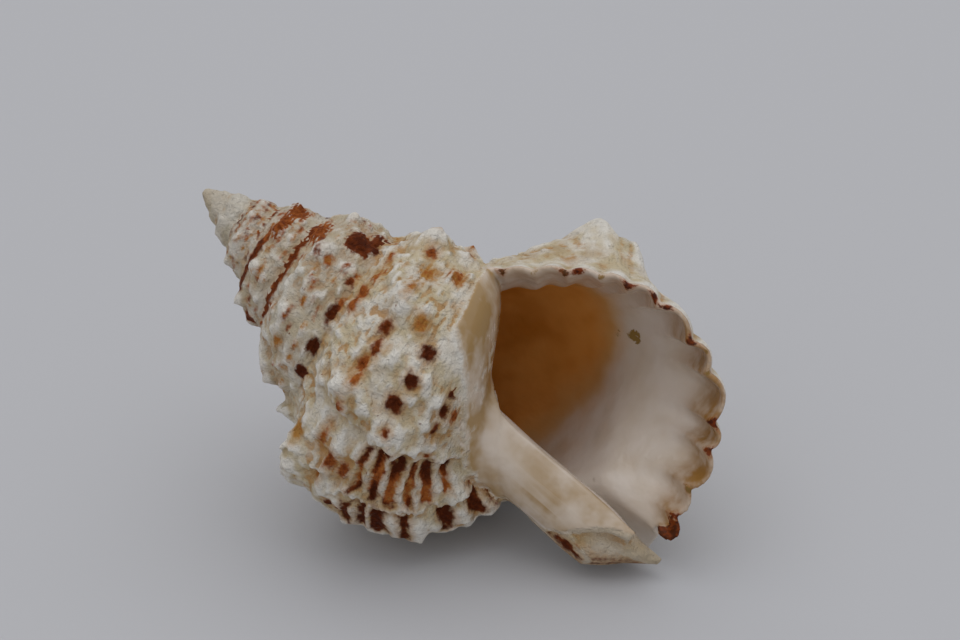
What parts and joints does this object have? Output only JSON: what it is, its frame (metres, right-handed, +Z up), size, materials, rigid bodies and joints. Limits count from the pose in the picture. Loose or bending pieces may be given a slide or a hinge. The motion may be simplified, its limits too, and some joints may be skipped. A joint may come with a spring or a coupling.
{
  "type": "frog shell",
  "caption": "Large knobbed sea snail shell with a pointed spire, a wide scalloped aperture and a short open canal, lying on its back.",
  "frame": {"origin": "middle of the bounding box's underside, on the surface that the shell lies on", "axes": "+Z up; +X towards the lip and the end of the canal, with the spire at -X; the aperture faces -Y and up"},
  "size_m": [0.1602, 0.0956, 0.0972],
  "materials": {
    "shell": "chalky cream and white outside with brown marks, glossy white lip and orange-brown throat"
  },
  "bodies": {
    "root": {"shell": "shell"}
  },
  "joints": []
}
